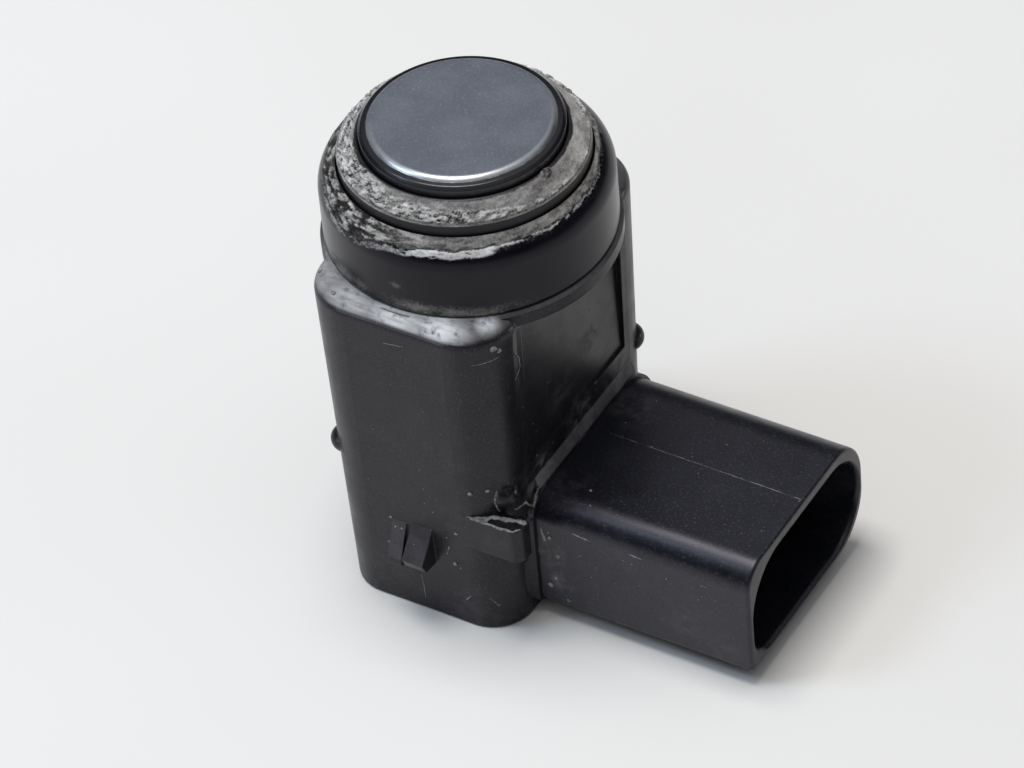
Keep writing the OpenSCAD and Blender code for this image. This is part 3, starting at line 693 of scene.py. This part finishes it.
shoulder_turns = [math.radians(degrees) for degrees in range(0, 67, 3)]
shoulder = [(shoulder_mid + shoulder_r * math.cos(t), shoulder_z + shoulder_r * math.sin(t), 0)
            for t in shoulder_turns]
collar_outline = soft_outline(
    [(bore_r, parting_z, 0), (10.75, parting_z, 0), (collar_r, wall_foot, 0), *shoulder,
     (bore_r, 36.725, 0)], 0.8, 0.085, lambda point: point.x > 9.5 and point.y > 34.4)
wall_cuts = [Vector((collar_r, wall_foot + wall_cut * k)) for k in range(1, 26)]
corner = next(i for i, p in enumerate(collar_outline) if p.x > 10.9 and p.y > wall_foot - 0.01)
collar_outline = [p for p in collar_outline if not (p.x > 10.9 and wall_foot + 0.01 < p.y < 34.45)]
collar_outline[corner + 1:corner + 1] = wall_cuts
turned_piece("collar_ring", collar_outline, fine_turns, collar_plastic,
             "collar", collar_dirt_and_highlight)

# %% [markdown]
# ## Crumbs, dried edges and the seam
# Small things tell the age of a part: grit stuck to the plastic, a white line where a puddle dried
# on the shelf, hairs and scratches, and the faint flash line that the mould left along the socket's
# top. A crumb is a dented ball, and a dried edge or a hair is a bumpy ridge along a path. Both are
# set down on the surface by asking a search tree for its nearest point, so nothing floats. A
# scatter would spread them evenly, so the ones that stand out are placed one by one, and only the
# finest are drawn at random.

# %% Ridges and crumbs that sit on a surface
dried_dirt, dirt_tree, dirt_shader = make_finish("dried_dirt", 0.8, 0.3)
dirt_place = place_mm(dirt_tree)
dirt_tone = band(dirt_tree, grain(dirt_tree, dirt_place, 3.0, 4, 0.6), 0.3, 0.7)
dirt_tree.links.new(blend_colour(dirt_tree, dirt_tone, (0.10, 0.097, 0.092), (0.36, 0.36, 0.355)),
                    dirt_shader.inputs["Base Color"])
dirt_tree.links.new(raise_grain(dirt_tree, grain(dirt_tree, dirt_place, 7.0, 3), 0.6, 0.04),
                    dirt_shader.inputs["Normal"])
ridge_section = ((-0.5, -0.4), (-0.36, 0.55), (0, 1), (0.36, 0.6), (0.5, -0.4))
ridge_steps = 8


def surface_of(piece):
    corners = [v.co for v in piece.data.vertices]
    return BVHTree.FromPolygons(corners, [tuple(p.vertices) for p in piece.data.polygons])


def add_ridge(work, surface, path, width, height, seed):
    spots = [Vector(a).lerp(Vector(b), k / ridge_steps)
             for a, b in zip(path, path[1:]) for k in range(ridge_steps)]
    spots.append(Vector(path[-1]))
    rings = []
    for i, spot in enumerate(spots):
        centre, up, _, _ = surface.find_nearest(spot * MM)
        ahead = (spots[min(i + 1, len(spots) - 1)] - spots[max(i - 1, 0)]).normalized()
        side = ahead.cross(up).normalized()
        taper = min(1, 0.35 + i * 0.3, 0.35 + (len(spots) - 1 - i) * 0.3)
        swell = taper * (1 + 0.55 * noise.noise(spot * 3.1 + Vector((seed, 0, 0))))
        drift = 0.3 * width * noise.noise(spot * 2.2 + Vector((0, seed, 0)))
        ring = []
        for x, y in ridge_section:
            offset = side * (x * width * swell + drift) + up * y * height * swell
            ring.append(work.verts.new(centre + offset * MM))
        rings.append(ring)
    for here, there in zip(rings, rings[1:]):
        for i in range(len(ridge_section)):
            j = (i + 1) % len(ridge_section)
            work.faces.new((here[i], here[j], there[j], there[i]))
    work.faces.new(rings[0])
    work.faces.new(reversed(rings[-1]))


def add_crumb(work, surface, spot, size, seed):
    centre, up, _, _ = surface.find_nearest(Vector(spot) * MM)
    turn = up.to_track_quat("Z", "Y").to_matrix()
    ball = bmesh.ops.create_icosphere(work, subdivisions=2, radius=1)["verts"]
    for v in ball:
        dent = 1 + 0.35 * noise.noise(v.co * 1.3 + Vector((seed, 3 * seed, 0)))
        shape = Vector((v.co.x * dent, v.co.y * dent * 0.8, v.co.z * dent * 0.5 + 0.12))
        v.co = centre + turn @ shape * size * MM


def finish_bits(name, work, finish):
    bmesh.ops.recalc_face_normals(work, faces=work.faces)
    mesh = bpy.data.meshes.new(name)
    work.to_mesh(mesh)
    work.free()
    mesh.shade_smooth()
    mesh.materials.append(finish)
    piece = bpy.data.objects.new(name, mesh)
    bpy.context.collection.objects.link(piece)
    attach(piece, "root")
    print(name, "faces:", len(mesh.polygons))
    return piece


housing_skin, socket_skin = surface_of(housing_shell), surface_of(socket_shell)
print("surfaces to set grit on:", housing_shell.name, socket_shell.name)

# %% Dried edges on the shelf and in the root
dried = bmesh.new()
shelf_top = 11.85
ridge_paths = [
    ([(5.0, -11.62, shelf_top), (6.2, -11.57, shelf_top), (7.6, -11.56, shelf_top),
      (8.6, -11.5, shelf_top), (9.0, -11.0, shelf_top)], 0.2, 0.08),
    ([(5.0, -11.6, shelf_top), (5.9, -11.2, shelf_top), (6.5, -10.75, shelf_top),
      (7.2, -10.7, shelf_top), (8.0, -10.45, shelf_top), (8.7, -10.3, shelf_top),
      (9.1, -10.2, shelf_top)], 0.46, 0.12),
    ([(5.4, -11.5, shelf_top), (5.9, -11.42, shelf_top), (6.4, -11.35, shelf_top)], 0.5, 0.07),
    ([(7.4, -9.4, 11.87), (7.75, -8.05, 11.6), (8.1, -7.7, 10.9), (7.95, -6.9, 11.5),
      (8.08, -6.4, 12.1)], 0.22, 0.09),
    ([(6.88, -10.42, 14.5), (6.75, -10.6, 13.6), (6.8, -10.6, 12.9), (6.89, -10.33, 12.2)],
     0.16, 0.07),
    ([(8.14, -8.39, 27.28), (8.13, -7.7, 25.93), (8.11, -7.64, 25.08), (8.06, -8.4, 24.31)],
     0.09, 0.04),
    ([(6.28, -11.37, 27.44), (7.12, -10.66, 27.48), (7.8, -9.64, 27.59)], 0.08, 0.03),
    ([(-0.7, -11.98, 27.45), (0.2, -11.98, 27.6), (1.03, -11.99, 27.74)], 0.08, 0.03),
    ([(3.68, -11.33, 2.51), (3.9, -11.33, 2.8), (4.18, -11.34, 3.17)], 0.1, 0.03),
    ([(5.65, -10.99, 3.28), (5.95, -10.8, 2.8), (6.22, -10.61, 2.34)], 0.1, 0.03),
    ([(-0.15, -11.36, 3.64), (-0.02, -11.32, 2.4), (0.01, -11.29, 1.1)], 0.08, 0.02),
    ([(2.5, -11.42, 6.9), (2.62, -11.42, 7.4), (2.8, -11.42, 7.9)], 0.09, 0.04)]
for seed, (path, width, height) in enumerate(ridge_paths):
    add_ridge(dried, housing_skin, path, width, height, seed)
crumb_spots = [
    ((3.59, -11.5, 9.56), 0.17), ((3.15, -11.4, 6.19), 0.19), ((-2.65, -11.4, 6.1), 0.15),
    ((-2.2, -11.4, 8.9), 0.13), ((5.2, -11.5, 14.3), 0.2), ((6.4, -11.0, 14.6), 0.18),
    ((-1.7, -12.2, 8.5), 0.1), ((-1.2, -12.2, 8.5), 0.14), ((0.3, -12.6, 8.0), 0.09),
    ((6.7, -9.6, 28.6), 0.3), ((6.9, -9.3, 28.2), 0.22), ((7.2, -8.6, 27.0), 0.14),
    ((7.5, -7.9, 24.4), 0.12), ((7.6, -7.4, 21.6), 0.16), ((-5.2, -11.2, 30.05), 0.2),
    ((-7.6, -9.4, 30.05), 0.22)]
draw = random.Random(7)
for _ in range(20):
    spot = (draw.uniform(-5, 5.5), -11.8, draw.uniform(1, 28))
    crumb_spots.append((spot, draw.uniform(0.035, 0.075)))
for _ in range(20):
    spot = (7.9, draw.uniform(-8, 8), draw.uniform(14, 29))
    crumb_spots.append((spot, draw.uniform(0.035, 0.08)))
for _ in range(22):
    turn = draw.uniform(0, full_turn)
    spot = (9.5 * math.cos(turn), 11.6 * math.sin(turn), 30.0)
    crumb_spots.append((spot, draw.uniform(0.04, 0.11)))
for seed, (spot, size) in enumerate(crumb_spots):
    add_crumb(dried, housing_skin, spot, size, seed)
finish_bits("housing_grit", dried, dried_dirt)

# %% Grit on the socket
socket_dirt = bmesh.new()
socket_spots = [((9.3, -7.8, 8.3), 0.2), ((9.9, -7.8, 6.6), 0.22), ((9.1, -7.8, 3.3), 0.26),
                ((10.6, -7.8, 2.3), 0.18), ((9.6, -7.8, 4.2), 0.16), ((11.5, -4.9, 11.6), 0.12),
                ((12.2, -6.2, 11.4), 0.1)]
for _ in range(26):
    spot = (draw.uniform(9, 25.5), -7.9, draw.uniform(2, 9))
    socket_spots.append((spot, draw.uniform(0.035, 0.075)))
for _ in range(22):
    spot = (draw.uniform(9, 25.5), draw.uniform(-6, 7), 11.7)
    socket_spots.append((spot, draw.uniform(0.03, 0.055)))
for seed, (spot, size) in enumerate(socket_spots):
    add_crumb(socket_dirt, socket_skin, spot, size, seed + 0.5)
socket_paths = [([(8.6, -7.75, 9.2), (8.75, -7.76, 8.4), (9.0, -7.76, 7.7)], 0.2, 0.07),
                ([(11.3, -7.72, 9.6), (12.0, -7.74, 9.5), (12.9, -7.74, 9.45)], 0.09, 0.03),
                ([(16.2, -7.74, 9.5), (17.3, -7.74, 9.4)], 0.08, 0.03)]
for seed, (path, width, height) in enumerate(socket_paths, 21):
    add_ridge(socket_dirt, socket_skin, path, width, height, seed)
finish_bits("socket_grit", socket_dirt, dried_dirt)

# %% Flash line along the socket
flash_plastic, flash_tree, flash_shader = make_finish("flash_plastic", 0.5, 0.5)
flash_tone = band(flash_tree, grain(flash_tree, place_mm(flash_tree), 1.1, 3), 0.35, 0.65)
flash_colour = blend_colour(flash_tree, flash_tone, (0.015, 0.015, 0.018), (0.17, 0.165, 0.165))
flash_tree.links.new(flash_colour, flash_shader.inputs["Base Color"])
flash = bmesh.new()
socket_top = 11.6
flash_path = [(9.65 + 16.33 * k / 24, 1.19 - 0.12 * k / 24, socket_top) for k in range(25)]
add_ridge(flash, socket_skin, flash_path + [(25.95, 0.75, socket_top)], 0.09, 0.02, 31)
flash_line = finish_bits("flash_line", flash, flash_plastic)

# %% [markdown]
# ## The pieces inside
# The transducer, the board and the pins are hidden or in shadow, yet each gets the finish of the
# real thing, so a cut or an opened sensor still looks right. One short recipe serves them all: two
# tones of a colour mixed by noise, a little bump, and metal where the piece is metal.

# %% Finishes for the inner pieces
def inner_finish(name, dark, light, roughness, per_mm, depth, metal=0.0):
    finish, tree, shader = make_finish(name, roughness)
    shader.inputs["Metallic"].default_value = metal
    place = place_mm(tree)
    tone = band(tree, grain(tree, place, per_mm, 3), 0.35, 0.68)
    tree.links.new(blend_colour(tree, tone, dark, light), shader.inputs["Base Color"])
    dull = band(tree, tone, 0, 1, roughness * 0.85, min(roughness * 1.15, 1))
    tree.links.new(dull, shader.inputs["Roughness"])
    relief = raise_grain(tree, grain(tree, place, per_mm * 2, 2), 0.4, depth)
    tree.links.new(relief, shader.inputs["Normal"])
    return finish


inner_recipes = [
    ("piezo_disc", "piezo_ceramic", (0.62, 0.58, 0.50), (0.72, 0.69, 0.62), 0.55, 3, 0.01),
    ("damping_foam", "damping_foam", (0.05, 0.05, 0.05), (0.10, 0.10, 0.10), 0.9, 4, 0.12),
    ("cup_sealant", "sealant", (0.50, 0.50, 0.48), (0.60, 0.60, 0.58), 0.45, 1.2, 0.03),
    ("signal_lead", "signal_insulation", (0.42, 0.03, 0.025), (0.52, 0.05, 0.04), 0.4, 2, 0.01),
    ("ground_lead", "ground_insulation", (0.02, 0.02, 0.02), (0.035, 0.035, 0.035), 0.4, 2, 0.01),
    ("circuit_board", "board_laminate", (0.012, 0.10, 0.045), (0.02, 0.15, 0.07), 0.4, 2.5, 0.01),
    ("transformer_core", "ferrite", (0.045, 0.045, 0.05), (0.07, 0.07, 0.075), 0.6, 5, 0.02),
    ("transformer_coil", "winding", (0.45, 0.19, 0.07), (0.62, 0.30, 0.12), 0.32, 6, 0.03, 1.0),
    ("driver_chip", "chip_body", (0.02, 0.02, 0.021), (0.032, 0.032, 0.034), 0.55, 6, 0.01),
    ("storage_capacitor", "can_metal", (0.62, 0.63, 0.65), (0.74, 0.75, 0.76), 0.35, 4, 0.008, 1.0),
    ("filter_capacitors", "capacitor_body", (0.42, 0.30, 0.18), (0.52, 0.39, 0.25), 0.45, 5, 0.01),
    ("resistors", "resistor_body", (0.03, 0.03, 0.032), (0.06, 0.06, 0.062), 0.4, 6, 0.01),
    ("protection_diode", "diode_body", (0.02, 0.02, 0.021), (0.035, 0.035, 0.036), 0.5, 6, 0.01),
    ("rear_potting", "potting", (0.018, 0.018, 0.019), (0.03, 0.03, 0.031), 0.3, 0.8, 0.05),
]
inner = {node: inner_finish(*recipe) for node, *recipe in inner_recipes}
pin_metal = inner_finish("pin_metal", (0.55, 0.53, 0.48), (0.70, 0.68, 0.63), 0.3, 3, 0.01, 1.0)
for pin in ("supply_terminal", "signal_terminal", "ground_terminal"):
    inner[pin] = pin_metal
for node, finish in inner.items():
    solids[node].data.materials.clear()
    solids[node].data.materials.append(finish)
print("inner pieces finished:", len(inner), "of", len(solids), "solids")

# %% [markdown]
# ## Floor and light
# The sensor stands on a plain pale sheet with a faint mottle. A wide light hangs almost straight
# above, so the shadow keeps close under the object, and a window on the left lays a cool gleam
# along the edges that face it. The dim sky is dark near the horizon, as in a room, so that little
# light creeps under the socket. A picture of a room could light the scene as well, but two lamps
# and a sky are easier to steer. They are set so that a colour comes out about as it is written.

# %% Floor
floor_finish, floor_tree, floor_shader = make_finish("floor_paper", 0.75, 0.2)
floor_place = place_mm(floor_tree)
floor_tone = band(floor_tree, grain(floor_tree, floor_place, 0.012, 2), 0.3, 0.7)
floor_tree.links.new(blend_colour(floor_tree, floor_tone, (0.815, 0.80, 0.78), (0.85, 0.838, 0.82)),
                     floor_shader.inputs["Base Color"])
floor_gap, floor_reach = 0.02 * MM, 3.0
sheet = bmesh.new()
bmesh.ops.create_grid(sheet, x_segments=1, y_segments=1, size=floor_reach)
floor_mesh = bpy.data.meshes.new("floor")
sheet.to_mesh(floor_mesh)
sheet.free()
floor_mesh.materials.append(floor_finish)
floor = bpy.data.objects.new("floor", floor_mesh)
floor.location.z = solid_box[0][2] - floor_gap
bpy.context.collection.objects.link(floor)
print("floor at", round(floor.location.z / MM, 2), "mm")

# %% Lamps and sky
lit_point = Vector((6, 0, 20)) * MM


def soft_lamp(name, towards, distance, width, power, colour):
    lamp = bpy.data.objects.new(name, bpy.data.lights.new(name, "AREA"))
    lamp.data.shape = "RECTANGLE"
    lamp.data.size, lamp.data.size_y = width, width
    lamp.data.energy = power
    lamp.data.color = colour
    lamp.location = lit_point + Vector(towards).normalized() * distance
    lamp.rotation_euler = (lamp.location - lit_point).to_track_quat("Z", "Y").to_euler()
    bpy.context.collection.objects.link(lamp)
    return lamp


ceiling = soft_lamp("ceiling_light", (-0.13, -0.02, 0.99), 0.6, 0.27, 2.4, (1.0, 0.985, 0.965))
window = soft_lamp("window_light", (-0.56, -0.40, 0.73), 0.55, 0.14, 0.62, (0.62, 0.79, 1.0))
sky = bpy.data.worlds.new("room")
bpy.context.scene.world = sky
sky.use_nodes = True
sky_glow = sky.node_tree.nodes["Background"]
sky_glow.inputs["Color"].default_value = (0.95, 0.97, 1.0, 1)
upwards = sky.node_tree.nodes.new("ShaderNodeTexCoord").outputs["Generated"]
steepness = vector_math(sky.node_tree, "DOT_PRODUCT", upwards, toward_top)
sky_strength = band(sky.node_tree, steepness, 0.25, 1.0, 0.0, 0.6)
sky.node_tree.links.new(sky_strength, sky_glow.inputs["Strength"])
print("lamps:", ceiling.name, window.name)

# %% Update the scene
bpy.context.view_layer.update()
